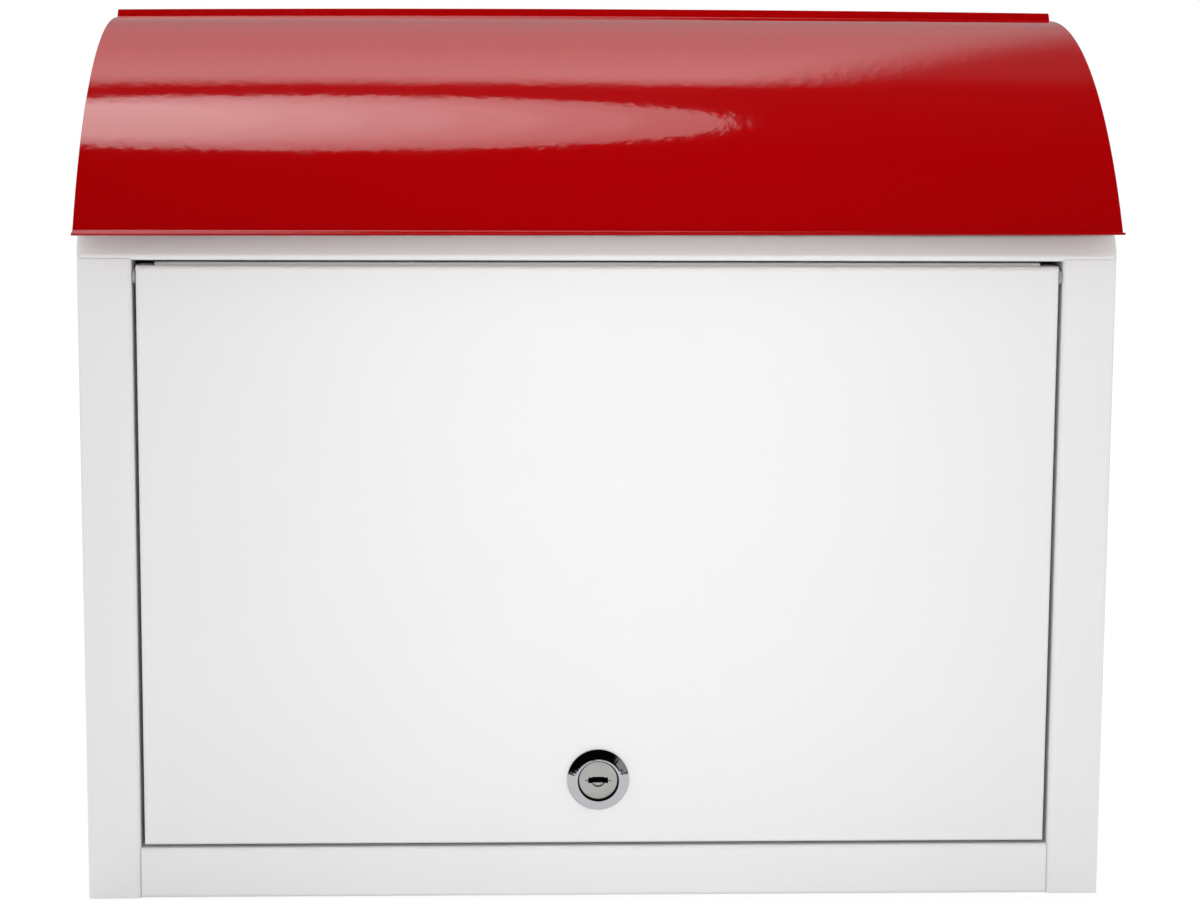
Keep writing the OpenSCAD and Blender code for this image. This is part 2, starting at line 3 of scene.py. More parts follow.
import bpy
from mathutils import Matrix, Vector


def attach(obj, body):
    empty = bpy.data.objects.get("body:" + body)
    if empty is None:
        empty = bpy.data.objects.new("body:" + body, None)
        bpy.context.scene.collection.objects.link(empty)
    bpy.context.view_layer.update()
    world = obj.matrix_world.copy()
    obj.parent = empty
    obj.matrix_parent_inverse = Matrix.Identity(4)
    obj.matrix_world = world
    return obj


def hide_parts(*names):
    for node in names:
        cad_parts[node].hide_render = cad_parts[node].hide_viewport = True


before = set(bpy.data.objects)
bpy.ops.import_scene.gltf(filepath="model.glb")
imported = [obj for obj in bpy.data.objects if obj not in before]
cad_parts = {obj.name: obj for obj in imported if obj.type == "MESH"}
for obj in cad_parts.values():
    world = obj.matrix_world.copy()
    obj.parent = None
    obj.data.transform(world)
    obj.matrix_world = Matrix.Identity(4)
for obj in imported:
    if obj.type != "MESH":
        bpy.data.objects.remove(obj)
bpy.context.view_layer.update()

# Sizes in metres, in the part's own frame: the wall is y = 0 and z = 0 is the middle
# of the wall holes
FLOOR_Z = -0.145
FRONT_Y = -0.135
SHEET = 0.001
FOLD_R = 0.0006
FOLD_OUT = SHEET + FOLD_R
FOLD_STEPS = 6
SHEET_EDGE = 0.0002

LID_W = 0.3606
DOME_Y = -0.0115
DOME_R = 0.153321
DOME_Z = 0.011079
DOME_SWEEP = 57.70
LIP_TURN = 45
LIP_L = 0.0036
UPSTAND_L = 0.0036
UPSTAND_TURN = 50
REAR_FLAT = 0.003
REAR_BOW = 0.0008
REAR_RISE = 0.0003
REAR_BOW_REACH = 0.05
# The lip droops most at the left end and stands level at the right
LIP_LIFT = 0.0010
LID_SHEET = 0.0008
LID_EDGE = 0.00015
LID_COLUMNS = 60
DOME_ROWS = 56

DOOR_W = 0.3200
DOOR_LOW = -0.1256
DOOR_HIGH = 0.0801
DOOR_DEPTH = 0.0105
# Foam strip on the door's top flange, which stops short of the corners; it sits set back in real
# shade, and its grey tone is partly painted shade
SEAL_L = 0.3070
SEAL_D = 0.007
SEAL_TOP = 0.0813
SEAL_SET_BACK = 0.0016
SEAL_SUNK = 0.0001
SEAL_CROWN_IN = 0.0008
SEAL_CROWN_UP = 0.0001
SEAL_EDGE = 0.0003

LOCK_X = 0.0005
LOCK_Z = -0.1022
PLUG_R = 0.00725
PLUG_FACE = -0.0014
PLUG_EDGE = 0.00006
RIM_W = 0.00055
HOLLOW_R = 0.0023
HOLLOW_EDGE = 0.0002
SLOT_W = 0.0070
SLOT_H = 0.0020
SLOT_DEPTH = 0.0118
# Depth behind the plug's face from which the key slot's walls take the painted shade
SLOT_SHADE_FROM = 0.0001
BARREL_R = 0.0094
BORE_CLEARANCE = 0.0002
BORE_L = 0.02
BORE_SIDES = 48

# Every softened edge has this many steps across
ROUND_STEPS = 3

# Places closer than a hair are the same; the corners of a round lie near its radius
HAIR = 1e-5
NEAR = 1e-4
MERGED = 1e-6
# Faces that turn less than this, in degrees, are one flat
FLAT_TURN = 0.4
# A face looks forwards when this much of its normal points there
FORWARDS = 0.97


def take(obj):
    """Selects one object alone, in object mode."""
    if bpy.context.object and bpy.context.object.mode != "OBJECT":
        bpy.ops.object.mode_set(mode="OBJECT")
    bpy.ops.object.select_all(action="DESELECT")
    obj.select_set(True)
    bpy.context.view_layer.objects.active = obj


def mark(obj, kind, inside):
    """Selects, in edit mode, the edges or faces whose every corner is inside."""
    take(obj)
    mesh = obj.data
    bpy.ops.object.mode_set(mode="EDIT")
    bpy.ops.mesh.select_mode(type=kind)
    bpy.ops.mesh.select_all(action="DESELECT")
    bpy.ops.object.mode_set(mode="OBJECT")
    for part in mesh.edges if kind == "EDGE" else mesh.polygons:
        part.select = all(inside(mesh.vertices[i].co) for i in part.vertices)
    bpy.ops.object.mode_set(mode="EDIT")


def settle(obj, name):
    """Gives a finished piece its name, and puts its place into its mesh."""
    take(obj)
    bpy.ops.object.transform_apply(location=True, rotation=True, scale=True)
    obj.name = name
    obj.data.name = name
    return obj


def modify(obj, kind, **settings):
    """Adds a modifier with its settings and applies it."""
    take(obj)
    modifier = obj.modifiers.new(kind.title(), kind)
    for key, value in settings.items():
        setattr(modifier, key, value)
    bpy.ops.object.modifier_apply(modifier=modifier.name)


def round_edges(obj, width, angle=40):
    """Rounds every edge sharper than the angle, and shades the piece smooth between them."""
    modify(obj, "BEVEL", width=width, segments=ROUND_STEPS, limit_method="ANGLE",
           angle_limit=math.radians(angle), use_clamp_overlap=True)
    take(obj)
    bpy.ops.object.shade_smooth_by_angle(angle=math.radians(angle))
    modify(obj, "WEIGHTED_NORMAL", keep_sharp=True, weight=50)


def close_up(obj):
    """Merges doubled corners and turns every face outwards."""
    take(obj)
    bpy.ops.object.mode_set(mode="EDIT")
    bpy.ops.mesh.select_all(action="SELECT")
    bpy.ops.mesh.remove_doubles(threshold=MERGED)
    bpy.ops.mesh.normals_make_consistent(inside=False)
    bpy.ops.object.mode_set(mode="OBJECT")


def finished(obj, body, nodes, material):
    """Hands a piece over: its body, the nodes that it stands for and its finish."""
    obj.data.materials.clear()
    obj.data.materials.append(material)
    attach(obj, body)
    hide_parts(*nodes)
    return obj


# Camera

CAMERA_AT = (-0.04514, -1.09301, 0.16559)
CAMERA_DEGREES = (82.0568, -0.2570, -1.8686)
LENS_MM = 83.472
SENSOR_MM = 36
SHIFT_X = 0.032625
SHIFT_Y = -0.037608

bpy.ops.object.camera_add(location=CAMERA_AT,
                          rotation=[math.radians(turn) for turn in CAMERA_DEGREES])
camera = bpy.context.object
camera.name = "camera"
camera.data.lens = LENS_MM
camera.data.sensor_width = SENSOR_MM
camera.data.shift_x = SHIFT_X
camera.data.shift_y = SHIFT_Y
bpy.context.scene.camera = camera
bpy.context.scene.view_settings.view_transform = "Standard"


# Node groups that several finishes share

def new_group(name, inputs, outputs):
    """A shader node group with its input and output sockets."""
    group = bpy.data.node_groups.new(name, "ShaderNodeTree")
    for label, kind, value in inputs:
        socket = group.interface.new_socket(name=label, in_out="INPUT", socket_type=kind)
        if value is not None:
            socket.default_value = value
    for label, kind in outputs:
        group.interface.new_socket(name=label, in_out="OUTPUT", socket_type=kind)
    group.nodes.new("NodeGroupInput")
    group.nodes.new("NodeGroupOutput")
    return group


def node_in(tree, kind, links=(), **values):
    """Adds a node, sets its own settings, and links or fills its inputs."""
    node = tree.nodes.new(kind)
    for key, value in values.items():
        setattr(node, key, value)
    for socket, value in links:
        if isinstance(value, bpy.types.NodeSocket):
            tree.links.new(value, node.inputs[socket])
        else:
            node.inputs[socket].default_value = value
    return node


def group_ends(group):
    """The sockets that a group's inside reads, and those that it fills."""
    ends = {node.type: node for node in group.nodes}
    return ends["GROUP_INPUT"].outputs, ends["GROUP_OUTPUT"].inputs


def build_sprayed_coat():
    """Powder coat: a fine orange peel, a slow waviness of the sheet, and a little mottle."""
    group = new_group(
        "sprayed_coat",
        [("Peel Scale", "NodeSocketFloat", 260), ("Peel Height", "NodeSocketFloat", 0.00003),
         ("Wave Scale", "NodeSocketFloat", 12), ("Wave Height", "NodeSocketFloat", 0.0002),
         ("Tone", "NodeSocketColor", (0.8, 0.8, 0.8, 1)),
         ("Shade", "NodeSocketColor", (0.7, 0.7, 0.7, 1)),
         ("Gloss", "NodeSocketFloat", 0.1), ("Gloss Spread", "NodeSocketFloat", 0.05)],
        [("Color", "NodeSocketColor"), ("Roughness", "NodeSocketFloat"),
         ("Normal", "NodeSocketVector")])
    given, out = group_ends(group)
    place = node_in(group, "ShaderNodeTexCoord").outputs["Object"]
    peel = node_in(group, "ShaderNodeTexNoise",
                   [("Vector", place), ("Scale", given["Peel Scale"]), ("Detail", 2.0),
                    ("Roughness", 0.45)])
    stretch = node_in(group, "ShaderNodeMapping", [("Vector", place), ("Scale", (0.45, 1, 1))])
    wave = node_in(group, "ShaderNodeTexNoise",
                   [("Vector", stretch.outputs["Vector"]), ("Scale", given["Wave Scale"]),
                    ("Detail", 1.0), ("Roughness", 0.4)])
    swell = node_in(group, "ShaderNodeBump",
                    [("Height", wave.outputs["Fac"]), ("Distance", given["Wave Height"]),
                     ("Strength", 1.0)])
    skin = node_in(group, "ShaderNodeBump",
                   [("Height", peel.outputs["Fac"]), ("Distance", given["Peel Height"]),
                    ("Strength", 1.0), ("Normal", swell.outputs["Normal"])])
    mottle = node_in(group, "ShaderNodeTexNoise",
                     [("Vector", place), ("Scale", 22.0), ("Detail", 4.0), ("Roughness", 0.55)])
    tone = node_in(group, "ShaderNodeMix",
                   [("Factor", mottle.outputs["Fac"]), ("A", given["Tone"]),
                    ("B", given["Shade"])], data_type="RGBA")
    spread = node_in(group, "ShaderNodeMath",
                     [(0, mottle.outputs["Fac"]), (1, given["Gloss Spread"]), (2, given["Gloss"])],
                     operation="MULTIPLY_ADD")
    group.links.new(tone.outputs["Result"], out["Color"])
    group.links.new(spread.outputs["Value"], out["Roughness"])
    group.links.new(skin.outputs["Normal"], out["Normal"])
    return group


def build_worked_metal():
    """Plated or bare metal: brushed or cast grain, with dull spots."""
    group = new_group(
        "worked_metal",
        [("Grain Scale", "NodeSocketVector", (900, 900, 900)),
         ("Grain Height", "NodeSocketFloat", 0.000006),
         ("Tone", "NodeSocketColor", (0.7, 0.7, 0.7, 1)),
         ("Shade", "NodeSocketColor", (0.6, 0.6, 0.6, 1)),
         ("Gloss", "NodeSocketFloat", 0.2), ("Gloss Spread", "NodeSocketFloat", 0.15)],
        [("Color", "NodeSocketColor"), ("Roughness", "NodeSocketFloat"),
         ("Normal", "NodeSocketVector")])
    given, out = group_ends(group)
    place = node_in(group, "ShaderNodeTexCoord").outputs["Object"]
    turned = node_in(group, "ShaderNodeMapping",
                     [("Vector", place), ("Scale", given["Grain Scale"])])
    grain = node_in(group, "ShaderNodeTexNoise",
                    [("Vector", turned.outputs["Vector"]), ("Scale", 1.0), ("Detail", 3.0),
                     ("Roughness", 0.6)])
    spots = node_in(group, "ShaderNodeTexNoise",
                    [("Vector", place), ("Scale", 160.0), ("Detail", 4.0), ("Roughness", 0.6)])
    skin = node_in(group, "ShaderNodeBump",
                   [("Height", grain.outputs["Fac"]), ("Distance", given["Grain Height"]),
                    ("Strength", 1.0)])
    tone = node_in(group, "ShaderNodeMix",
                   [("Factor", spots.outputs["Fac"]), ("A", given["Tone"]),
                    ("B", given["Shade"])], data_type="RGBA")
    spread = node_in(group, "ShaderNodeMath",
                     [(0, spots.outputs["Fac"]), (1, given["Gloss Spread"]), (2, given["Gloss"])],
                     operation="MULTIPLY_ADD")
    group.links.new(tone.outputs["Result"], out["Color"])
    group.links.new(spread.outputs["Value"], out["Roughness"])
    group.links.new(skin.outputs["Normal"], out["Normal"])
    return group


sprayed_coat = build_sprayed_coat()
worked_metal = build_worked_metal()


def finish_of(name, group, settings, **shader_values):
    """A material from one of the node groups, with its own values."""
    material = bpy.data.materials.new(name)
    material.use_nodes = True
    tree = material.node_tree
    shader = next(node for node in tree.nodes if node.type == "BSDF_PRINCIPLED")
    surface = tree.nodes.new("ShaderNodeGroup")
    surface.node_tree = group
    surface.label = group.name
    for label, value in settings.items():
        surface.inputs[label].default_value = value
    tree.links.new(surface.outputs["Color"], shader.inputs["Base Color"])
    tree.links.new(surface.outputs["Roughness"], shader.inputs["Roughness"])
    tree.links.new(surface.outputs["Normal"], shader.inputs["Normal"])
    for label, value in shader_values.items():
        shader.inputs[label.replace("_", " ")].default_value = value
    material.diffuse_color = surface.inputs["Tone"].default_value
    return material


white_coat = finish_of("white_powder_coat", sprayed_coat,
                       {"Tone": (0.872, 0.876, 0.87, 1), "Shade": (0.852, 0.856, 0.85, 1),
                        "Peel Scale": 420, "Peel Height": 0.00002, "Wave Scale": 9,
                        "Wave Height": 0.0001, "Gloss": 0.34, "Gloss Spread": 0.08}, IOR=1.5)
red_coat = finish_of("red_powder_coat", sprayed_coat,
                     {"Tone": (0.362, 0.0003, 0.0012, 1), "Shade": (0.34, 0.0002, 0.001, 1),
                      "Peel Scale": 240, "Peel Height": 0.00004, "Wave Scale": 7,
                      "Wave Height": 0.0003, "Gloss": 0.045, "Gloss Spread": 0.04}, IOR=1.5)
zinc = finish_of("zinc_plate", worked_metal,
                 {"Tone": (0.66, 0.67, 0.70, 1), "Shade": (0.54, 0.55, 0.59, 1),
                  "Gloss": 0.26, "Gloss Spread": 0.2}, Metallic=1.0)
chrome = finish_of("chrome_plate", worked_metal,
                   {"Tone": (0.51, 0.515, 0.535, 1), "Shade": (0.47, 0.475, 0.495, 1),
                    "Grain Height": 0.000001, "Gloss": 0.05, "Gloss Spread": 0.04}, Metallic=1.0)
nickel = finish_of("satin_nickel", worked_metal,
                   {"Tone": (0.60, 0.61, 0.59, 1), "Shade": (0.52, 0.53, 0.50, 1),
                    "Grain Height": 0.000008, "Gloss": 0.34, "Gloss Spread": 0.14}, Metallic=1.0)
rubber = finish_of("rubber", worked_metal,
                   {"Tone": (0.03, 0.03, 0.03, 1), "Shade": (0.02, 0.02, 0.02, 1),
                    "Grain Height": 0.00003, "Gloss": 0.6, "Gloss Spread": 0.2}, Metallic=0.0)
nylon = finish_of("grey_nylon", worked_metal,
                  {"Tone": (0.38, 0.38, 0.38, 1), "Shade": (0.34, 0.34, 0.34, 1),
                   "Grain Height": 0.00001, "Gloss": 0.4, "Gloss Spread": 0.15}, Metallic=0.0)
# Painted shade: near-black for the shadowed gap round the key plug and for the shade deep in the
# key slot
plug_painted_shade = finish_of("painted_shade_plug_rim_and_slot", worked_metal,
                   {"Tone": (0.02, 0.019, 0.017, 1), "Shade": (0.012, 0.011, 0.01, 1),
                    "Grain Height": 0.00001, "Gloss": 0.5, "Gloss Spread": 0.2}, Metallic=0.0)
# Partly painted shade: the foam's grey is darkened to stand for the shade along the door's top
# edge
seal_foam_and_painted_shade = finish_of("foam_grey_and_painted_shade", worked_metal,
                 {"Tone": (0.46, 0.46, 0.45, 1), "Shade": (0.40, 0.40, 0.39, 1),
                  "Grain Height": 0.00003, "Gloss": 0.7, "Gloss Spread": 0.2}, Metallic=0.0)


# Lid: one sheet from the upturned rear edge over the dome to the front lip

def model_lid():
    bpy.ops.mesh.primitive_grid_add(x_subdivisions=LID_COLUMNS, y_subdivisions=1, size=1)
    lid = bpy.context.object
    lid.scale = (LID_W, REAR_FLAT, 1)
    lid.location = (0, DOME_Y + REAR_FLAT / 2, DOME_Z + DOME_R)
    settle(lid, "lid_sheet")
    top = DOME_Z + DOME_R
    front_edge = DOME_Y + HAIR
    # The dome, swept forwards from the front of the flat
    mark(lid, "EDGE", lambda p: p.y < front_edge)
    bpy.ops.mesh.spin(steps=DOME_ROWS, angle=-math.radians(DOME_SWEEP),
                      center=(0, DOME_Y, DOME_Z), axis=(1, 0, 0))
    # The fold up to the lip, then the lip
    sweep = math.radians(DOME_SWEEP)
    edge_y = DOME_Y - DOME_R * math.sin(sweep)
    edge_z = DOME_Z + DOME_R * math.cos(sweep)
    out_y, out_z = -math.sin(sweep), math.cos(sweep)
    mark(lid, "EDGE", lambda p: p.y < edge_y + HAIR)
    bpy.ops.mesh.spin(steps=FOLD_STEPS, angle=math.radians(LIP_TURN),
                      center=(0, edge_y + FOLD_R * out_y, edge_z + FOLD_R * out_z),
                      axis=(1, 0, 0))
    droop = math.radians(DOME_SWEEP - LIP_TURN)
    bpy.ops.mesh.extrude_region_move(
        TRANSFORM_OT_translate={"value": (0, -LIP_L * math.cos(droop),
                                          -LIP_L * math.sin(droop))})
    # The fold up to the rear edge, then the rear edge
    rear_y = DOME_Y + REAR_FLAT
    mark(lid, "EDGE", lambda p: p.y > rear_y - HAIR)
    bpy.ops.mesh.spin(steps=FOLD_STEPS, angle=-math.radians(UPSTAND_TURN),
                      center=(0, rear_y, top + FOLD_R), axis=(1, 0, 0))
    rise = math.radians(UPSTAND_TURN)
    bpy.ops.mesh.extrude_region_move(
        TRANSFORM_OT_translate={"value": (0, UPSTAND_L * math.cos(rise),
                                          UPSTAND_L * math.sin(rise))})
    bpy.ops.object.mode_set(mode="OBJECT")
    close_up(lid)
    # An open sheet has no inside, so its faces are turned upwards by their sum
    if sum(face.normal.z for face in lid.data.polygons) < 0:
        take(lid)
        bpy.ops.object.mode_set(mode="EDIT")
        bpy.ops.mesh.select_all(action="SELECT")
        bpy.ops.mesh.flip_normals()
        bpy.ops.object.mode_set(mode="OBJECT")
    # The front lip rises a little towards the right
    lip_edge = min(vertex.co.y for vertex in lid.data.vertices) + HAIR
    for vertex in lid.data.vertices:
        if vertex.co.y < lip_edge:
            vertex.co.z += LIP_LIFT * (0.5 + vertex.co.x / LID_W)
    # The long sheet bows up a little at its rear edge
    for vertex in lid.data.vertices:
        across = vertex.co.x / (LID_W / 2)
        back = max(0, 1 + (vertex.co.y - rear_y) / REAR_BOW_REACH)
        vertex.co.z += (REAR_BOW * (1 - across ** 2) + REAR_RISE) * back ** 2
    modify(lid, "SOLIDIFY", thickness=LID_SHEET, offset=-1, use_even_offset=True)
    round_edges(lid, LID_EDGE)
    return lid


finished(model_lid(), "lid", ["lid_cover"], red_coat)


# Door: a tray with a flange all round, bored for the lock

def model_door():
    bpy.ops.mesh.primitive_cube_add(
        size=1, location=(0, FRONT_Y + DOOR_DEPTH / 2, (DOOR_LOW + DOOR_HIGH) / 2),
        scale=(DOOR_W, DOOR_DEPTH, DOOR_HIGH - DOOR_LOW))
    door = settle(bpy.context.object, "door_tray")
    back = FRONT_Y + DOOR_DEPTH - HAIR
    mark(door, "FACE", lambda p: p.y > back)
    bpy.ops.mesh.delete(type="FACE")
    # The fold round the front
    front = FRONT_Y + HAIR
    mark(door, "EDGE", lambda p: p.y < front)
    bpy.ops.mesh.bevel(offset=FOLD_OUT, segments=FOLD_STEPS)
    bpy.ops.object.mode_set(mode="OBJECT")
    modify(door, "SOLIDIFY", thickness=SHEET, offset=-1, use_even_offset=True)
    bpy.ops.mesh.primitive_cylinder_add(
        vertices=BORE_SIDES, radius=BARREL_R + BORE_CLEARANCE, depth=BORE_L,
        location=(LOCK_X, FRONT_Y, LOCK_Z), rotation=(math.radians(90), 0, 0))
    bore = bpy.context.object
    modify(door, "BOOLEAN", object=bore, operation="DIFFERENCE", solver="EXACT")
    bpy.data.objects.remove(bore)
    round_edges(door, SHEET_EDGE)
    return door


finished(model_door(), "door", ["door_panel"], white_coat)


# Seal: a thin foam strip along the door's top flange, set back in shade under the rail, its grey
# tone partly painted shade

def model_seal():
    low = DOOR_HIGH - SEAL_SUNK
    bpy.ops.mesh.primitive_cube_add(
        size=1, location=(0, FRONT_Y + SEAL_SET_BACK + SEAL_D / 2, (low + SEAL_TOP) / 2),
        scale=(SEAL_L, SEAL_D, SEAL_TOP - low))
    seal = settle(bpy.context.object, "door_top_seal")
    # The foam crowns: its top narrows all round
    mark(seal, "FACE", lambda p: p.z > SEAL_TOP - HAIR)
    bpy.ops.mesh.inset(thickness=SEAL_CROWN_IN)
    bpy.ops.transform.translate(value=(0, 0, SEAL_CROWN_UP))
    bpy.ops.object.mode_set(mode="OBJECT")
    round_edges(seal, SEAL_EDGE, angle=5)
    return seal


finished(model_seal(), "door", [], seal_foam_and_painted_shade)


# Folded pieces and fittings whose solids have the right shape: a copy with soft edges

def copy_of(node, name):
    """A copy of a node's mesh whose flat faces are one face each."""
    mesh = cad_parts[node].data.copy()
    mesh.name = name
    obj = bpy.data.objects.new(name, mesh)
    bpy.context.scene.collection.objects.link(obj)
    close_up(obj)
    take(obj)
    bpy.ops.object.mode_set(mode="EDIT")
    bpy.ops.mesh.select_all(action="SELECT")
    bpy.ops.mesh.dissolve_limited(angle_limit=math.radians(FLAT_TURN))
    bpy.ops.object.mode_set(mode="OBJECT")
    return obj


def model_refined(node, name, edge):
    obj = copy_of(node, name)
    round_edges(obj, edge)
    return obj


# Node, name of the piece, width of its rounded edges, body, slot and finish
REFINED = [
    ("body_shell", "wrapped_shell", 0.0002, "box", "white_powder_coat", white_coat),
    ("bottom_pan", "floor_pan", 0.0002, "box", "white_powder_coat", white_coat),
    ("top_rail", "sloping_rail", 0.0002, "box", "white_powder_coat", white_coat),
    ("mail_chute", "mail_guide", 0.0002, "box", "white_powder_coat", white_coat),
    ("lid_hinge_fixed_leaf", "hinge_leaf_on_box", 0.00015, "box", "zinc_steel", zinc),
    ("lid_hinge_pin", "hinge_pin", 0.0002, "box", "zinc_steel", zinc),
    ("lid_hinge_rivets", "hinge_rivet_heads", 0.0001, "box", "zinc_steel", zinc),
    ("lid_bumpers", "lid_bumper_buttons", 0.0003, "box", "rubber", rubber),
    ("door_pads", "door_stop_pads", 0.0003, "box", "rubber", rubber),
    ("lid_hinge_moving_leaf", "hinge_leaf_on_lid", 0.00015, "lid", "zinc_steel", zinc),
    ("door_pin_left", "door_pivot_left", 0.0001, "door", "zinc_steel", zinc),
    ("door_pin_right", "door_pivot_right", 0.0001, "door", "zinc_steel", zinc),
    ("spacer_washer_left", "nylon_spacer_left", 0.00005, "door", "grey_nylon", nylon),
    ("spacer_washer_right", "nylon_spacer_right", 0.00005, "door", "grey_nylon", nylon),
    ("lock_tooth_washer", "tooth_washer", 0.00005, "door", "zinc_steel", zinc),
    ("lock_nut", "hex_nut", 0.0001, "door", "zinc_steel", zinc),
    ("lock_cam", "cam_arm", 0.0001, "lock_plug", "zinc_steel", zinc),
    ("cam_stop_washer", "stop_washer", 0.00005, "lock_plug", "zinc_steel", zinc),
    ("cam_screw", "cam_screw_head", 0.0001, "lock_plug", "zinc_steel", zinc),
    ("lock_housing", "lock_body", 0.0001, "door", "chrome", chrome),
]
for node, name, edge, body, slot, material in REFINED:
    finished(model_refined(node, name, edge), body, [node], material)


# Key plug: a satin face, a polished edge round its hollow, and painted shade: a near-black rim for
# the shadowed gap round the plug, and near-black walls in the deep key slot

def off_axis(p):
    """How far a point lies from the lock's axis."""
    return math.hypot(p.x - LOCK_X, p.z - LOCK_Z)


def model_key_plug():
    plug = copy_of("lock_plug", "key_plug")
    face = FRONT_Y + PLUG_FACE + HAIR
    mark(plug, "EDGE", lambda p: p.y < face and off_axis(p) > PLUG_R - NEAR)
    bpy.ops.mesh.bevel(offset=RIM_W, segments=ROUND_STEPS)
    mark(plug, "EDGE",
         lambda p: p.y < face and HOLLOW_R - NEAR < off_axis(p) < HOLLOW_R + NEAR)
    bpy.ops.mesh.bevel(offset=HOLLOW_EDGE, segments=ROUND_STEPS)
    bpy.ops.object.mode_set(mode="OBJECT")
    round_edges(plug, PLUG_EDGE)
    return plug


def in_slot(p):
    """Whether a point lies within the key slot's outline."""
    return abs(p.x - LOCK_X) < SLOT_W / 2 + HAIR and abs(p.z - LOCK_Z) < SLOT_H / 2 + HAIR


key_plug = finished(model_key_plug(), "lock_plug", ["lock_plug"], nickel)
key_plug.data.materials.append(chrome)
key_plug.data.materials.append(plug_painted_shade)
POLISHED = 1
DARK = 2
face_y = FRONT_Y + PLUG_FACE
# Painted shade: the rim chamfer and the key slot's walls take the near-black finish
for part in key_plug.data.polygons:
    inward = part.center.y - face_y
    on_rim = off_axis(part.center) > PLUG_R - RIM_W and inward > HAIR
    if on_rim or in_slot(part.center) and SLOT_SHADE_FROM < inward < SLOT_DEPTH:
        part.material_index = DARK
    elif inward < HOLLOW_EDGE and -part.normal.y < FORWARDS:
        part.material_index = POLISHED


# Floor, light and surroundings

def by_ray(tree, parts):
    """1 for the kinds of ray named, 0 for the others."""
    path = tree.nodes.new("ShaderNodeLightPath")
    total = path.outputs[parts[0]]
    for part in parts[1:]:
        total = node_in(tree, "ShaderNodeMath", [(0, total), (1, path.outputs[part])],
                        operation="MAXIMUM").outputs["Value"]
    return total


def soft_step(tree, value, low, high):
    """0 below low, 1 above high, and smooth between."""
    return node_in(tree, "ShaderNodeMapRange",
                   [("Value", value), ("From Min", low), ("From Max", high)],
                   interpolation_type="SMOOTHSTEP").outputs["Result"]


SEEN = ["Is Camera Ray", "Is Glossy Ray", "Is Transmission Ray"]
FLOOR_SIZE = 12
FLOOR_DROP = 0.0002
FLOOR_TONE = 0.8
FLOOR_GLOW = 1.06
# The glow's part of the floor: the rest is a pale matt that takes the object's shadow
GLOW_SHARE = 0.85
TABLE_REACH = 0.6
TABLE_FADE = 0.1


def lay_floor():
    """A floor that is white to the camera, with the object's shadow on it."""
    bpy.ops.mesh.primitive_plane_add(size=FLOOR_SIZE, location=(0, 0, FLOOR_Z - FLOOR_DROP))
    floor = bpy.context.object
    floor.name = "studio_floor"
    material = bpy.data.materials.new("studio_floor")
    material.use_nodes = True
    tree = material.node_tree
    tree.nodes.clear()
    pale = node_in(tree, "ShaderNodeBsdfDiffuse", [("Color", (FLOOR_TONE,) * 3 + (1,))])
    # Gloss sees the pale table end a little way off, where the camera sees white
    place = node_in(tree, "ShaderNodeTexCoord").outputs["Object"]
    reach = node_in(tree, "ShaderNodeVectorMath", [(0, place)], operation="LENGTH")
    far = soft_step(tree, reach.outputs["Value"], TABLE_REACH, TABLE_REACH + TABLE_FADE)
    dark = node_in(tree, "ShaderNodeMath", [(0, far), (1, by_ray(tree, ["Is Glossy Ray"]))],
                   operation="MULTIPLY")
    strength = node_in(tree, "ShaderNodeMath", [(0, dark.outputs["Value"]), (1, -FLOOR_GLOW),
                                               (2, FLOOR_GLOW)], operation="MULTIPLY_ADD")
    lit = node_in(tree, "ShaderNodeEmission",
                  [("Color", (1, 1, 1, 1)), ("Strength", strength.outputs["Value"])])
    keep = node_in(tree, "ShaderNodeMath", [(0, by_ray(tree, SEEN)), (1, GLOW_SHARE)],
                   operation="MULTIPLY")
    mix = node_in(tree, "ShaderNodeMixShader",
                  [("Fac", keep.outputs["Value"]), (1, pale.outputs["BSDF"]),
                   (2, lit.outputs["Emission"])])
    out = tree.nodes.new("ShaderNodeOutputMaterial")
    tree.links.new(mix.outputs["Shader"], out.inputs["Surface"])
    floor.data.materials.append(material)


# Brightness of the studio that gloss shows, by the height of the direction: (sine, level)
SWEEP = [(0.0, 0.34), (0.34, 0.39), (0.56, 0.62), (0.70, 0.95), (0.79, 1.40), (0.865, 1.95),
         (0.892, 1.5), (0.91, 0.055), (1.0, 0.03)]
BESIDE_SWEEP = [(0.0, 0.25), (0.38, 0.30), (0.6, 0.22), (0.7, 0.15), (0.84, 0.16), (0.9, 0.03),
                (1.0, 0.01)]
RAMP_TOP = 2.0
# Where the sweep ends on the right, in degrees from straight behind
SWEEP_END = 12.5
SWEEP_END_FADE = (-0.02, 0.05)
BEHIND_FADE = (-0.02, 0.02)
# A dim card in front on the right, which the lock's ring shows
CARD_WAY = (0.92, -0.37, 0.10)
CARD_LEVEL = 0.40
CARD_FADE = (0.82, 0.97)
# The even light on the object, and the white that the camera sees
EVEN_LIGHT = 0.828
WHITE = 1.0


def brightness_by_height(tree, height, stops):
    """A level that follows the stops, given as (height, level)."""
    ramp = node_in(tree, "ShaderNodeValToRGB", [("Fac", height)])
    marks = ramp.color_ramp.elements
    while len(marks) < len(stops):
        marks.new(0.5)
    for mark_at, (place, level) in zip(marks, stops):
        mark_at.position = place
        mark_at.color = (level / RAMP_TOP,) * 3 + (1,)
    return node_in(tree, "ShaderNodeMath", [(0, ramp.outputs["Color"]), (1, RAMP_TOP)],
                   operation="MULTIPLY").outputs["Value"]


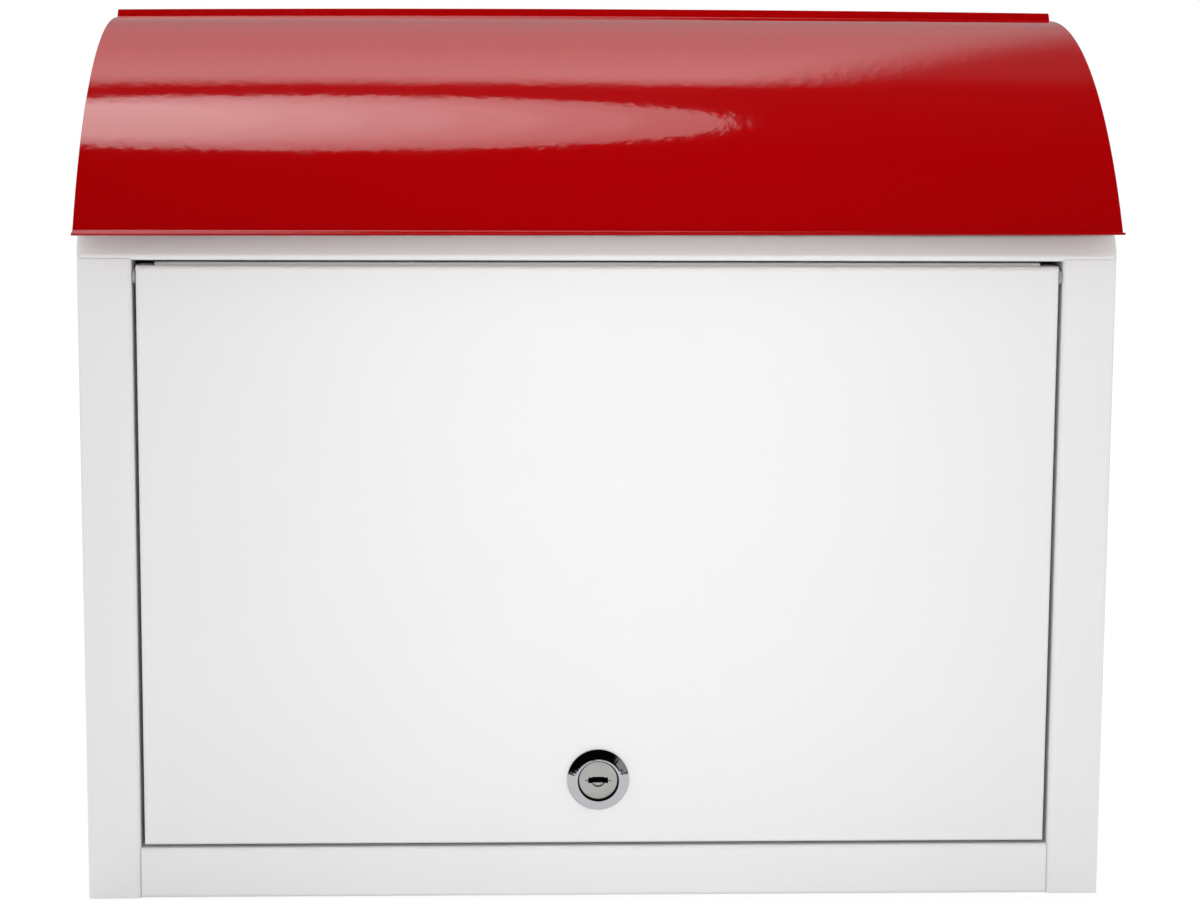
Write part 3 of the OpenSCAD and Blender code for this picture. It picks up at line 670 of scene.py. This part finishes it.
def surround():
    """White to the camera, even light on the object, and a studio for gloss: a pale sweep
    behind, brightest at its top edge and ending on the right, with dark above and in front."""
    world = bpy.data.worlds.new("studio")
    bpy.context.scene.world = world
    world.use_nodes = True
    tree = world.node_tree
    tree.nodes.clear()
    way = node_in(tree, "ShaderNodeTexCoord").outputs["Generated"]
    axes = node_in(tree, "ShaderNodeSeparateXYZ", [("Vector", way)])
    sweep = brightness_by_height(tree, axes.outputs["Z"], SWEEP)
    beside = brightness_by_height(tree, axes.outputs["Z"], BESIDE_SWEEP)
    aside = node_in(tree, "ShaderNodeMath",
                    [(0, axes.outputs["Y"]), (1, -math.tan(math.radians(SWEEP_END))),
                     (2, axes.outputs["X"])], operation="MULTIPLY_ADD")
    past_end = soft_step(tree, aside.outputs["Value"], *SWEEP_END_FADE)
    back = node_in(tree, "ShaderNodeMix",
                   [("Factor", past_end), ("A", sweep), ("B", beside)], data_type="FLOAT")
    behind = soft_step(tree, axes.outputs["Y"], *BEHIND_FADE)
    rear = node_in(tree, "ShaderNodeMath",
                   [(0, back.outputs["Result"]), (1, behind)], operation="MULTIPLY")
    card = node_in(tree, "ShaderNodeVectorMath", [(0, way), (1, CARD_WAY)],
                   operation="DOT_PRODUCT")
    card_seen = soft_step(tree, card.outputs["Value"], *CARD_FADE)
    gloss = node_in(tree, "ShaderNodeMath",
                    [(0, card_seen), (1, CARD_LEVEL), (2, rear.outputs["Value"])],
                    operation="MULTIPLY_ADD")
    for_gloss = node_in(tree, "ShaderNodeBackground",
                        [("Color", (1, 1, 1, 1)), ("Strength", gloss.outputs["Value"])])
    for_light = node_in(tree, "ShaderNodeBackground",
                        [("Color", (1, 1, 1, 1)), ("Strength", EVEN_LIGHT)])
    for_camera = node_in(tree, "ShaderNodeBackground",
                         [("Color", (1, 1, 1, 1)), ("Strength", WHITE)])
    shiny = node_in(tree, "ShaderNodeMixShader",
                    [("Fac", by_ray(tree, ["Is Glossy Ray", "Is Transmission Ray"])),
                     (1, for_light.outputs["Background"]),
                     (2, for_gloss.outputs["Background"])])
    seen = node_in(tree, "ShaderNodeMixShader",
                   [("Fac", by_ray(tree, ["Is Camera Ray"])), (1, shiny.outputs["Shader"]),
                    (2, for_camera.outputs["Background"])])
    out = tree.nodes.new("ShaderNodeOutputWorld")
    tree.links.new(seen.outputs["Shader"], out.inputs["Surface"])


def hang_light(name, place, aim, size, watts, shape="RECTANGLE", spread=180, shown=True):
    """A softbox at a place, turned to a point."""
    bpy.ops.object.light_add(type="AREA", location=place)
    lamp = bpy.context.object
    lamp.name = name
    lamp.data.shape = shape
    lamp.data.size, lamp.data.size_y = size
    lamp.data.energy = watts
    lamp.data.spread = math.radians(spread)
    away = Vector(place) - Vector(aim)
    lamp.rotation_euler = away.to_track_quat("Z", "Y").to_euler()
    lamp.visible_glossy = shown


# The oval softbox whose reflection lies along the front of the dome: its glow gathers
# towards the left, so it is hung as ovals one inside the other, from the widest in
OVALS = 6
OVAL_WIDE = (0.70, 0.524)
OVAL_NARROW = (0.26, 0.30)
OVAL_FROM = -0.183
OVAL_TO = -0.33
OVAL_Y = 0.073
OVAL_Z = 1.355
OVAL_DROP = 0.002
GLOW_WIDE = 2.2
GLOW_STEP = 0.62

lay_floor()
surround()
for i in range(OVALS):
    along = i / (OVALS - 1)
    oval = [wide + (narrow - wide) * along for wide, narrow in zip(OVAL_WIDE, OVAL_NARROW)]
    oval_x = OVAL_FROM + (OVAL_TO - OVAL_FROM) * along
    glow = GLOW_WIDE if i == 0 else GLOW_STEP
    oval_area = math.pi / 4 * oval[0] * oval[1]
    hang_light(f"softbox_oval_{i + 1}", (oval_x, OVAL_Y, OVAL_Z - OVAL_DROP * i),
               (oval_x, OVAL_Y, 0), oval, glow * math.pi * oval_area, shape="ELLIPSE")
hang_light("softbox_behind", place=(0.0, 0.6, 1.35), aim=(0.0, 0.0, 0.1), size=(1.0, 0.8),
           watts=7.0, shown=False)
hang_light("strip_front", place=(0.02, -1.35, 0.10), aim=(0.02, -0.135, 0.05),
           size=(0.15, 0.5), watts=0.14, spread=26, shown=False)
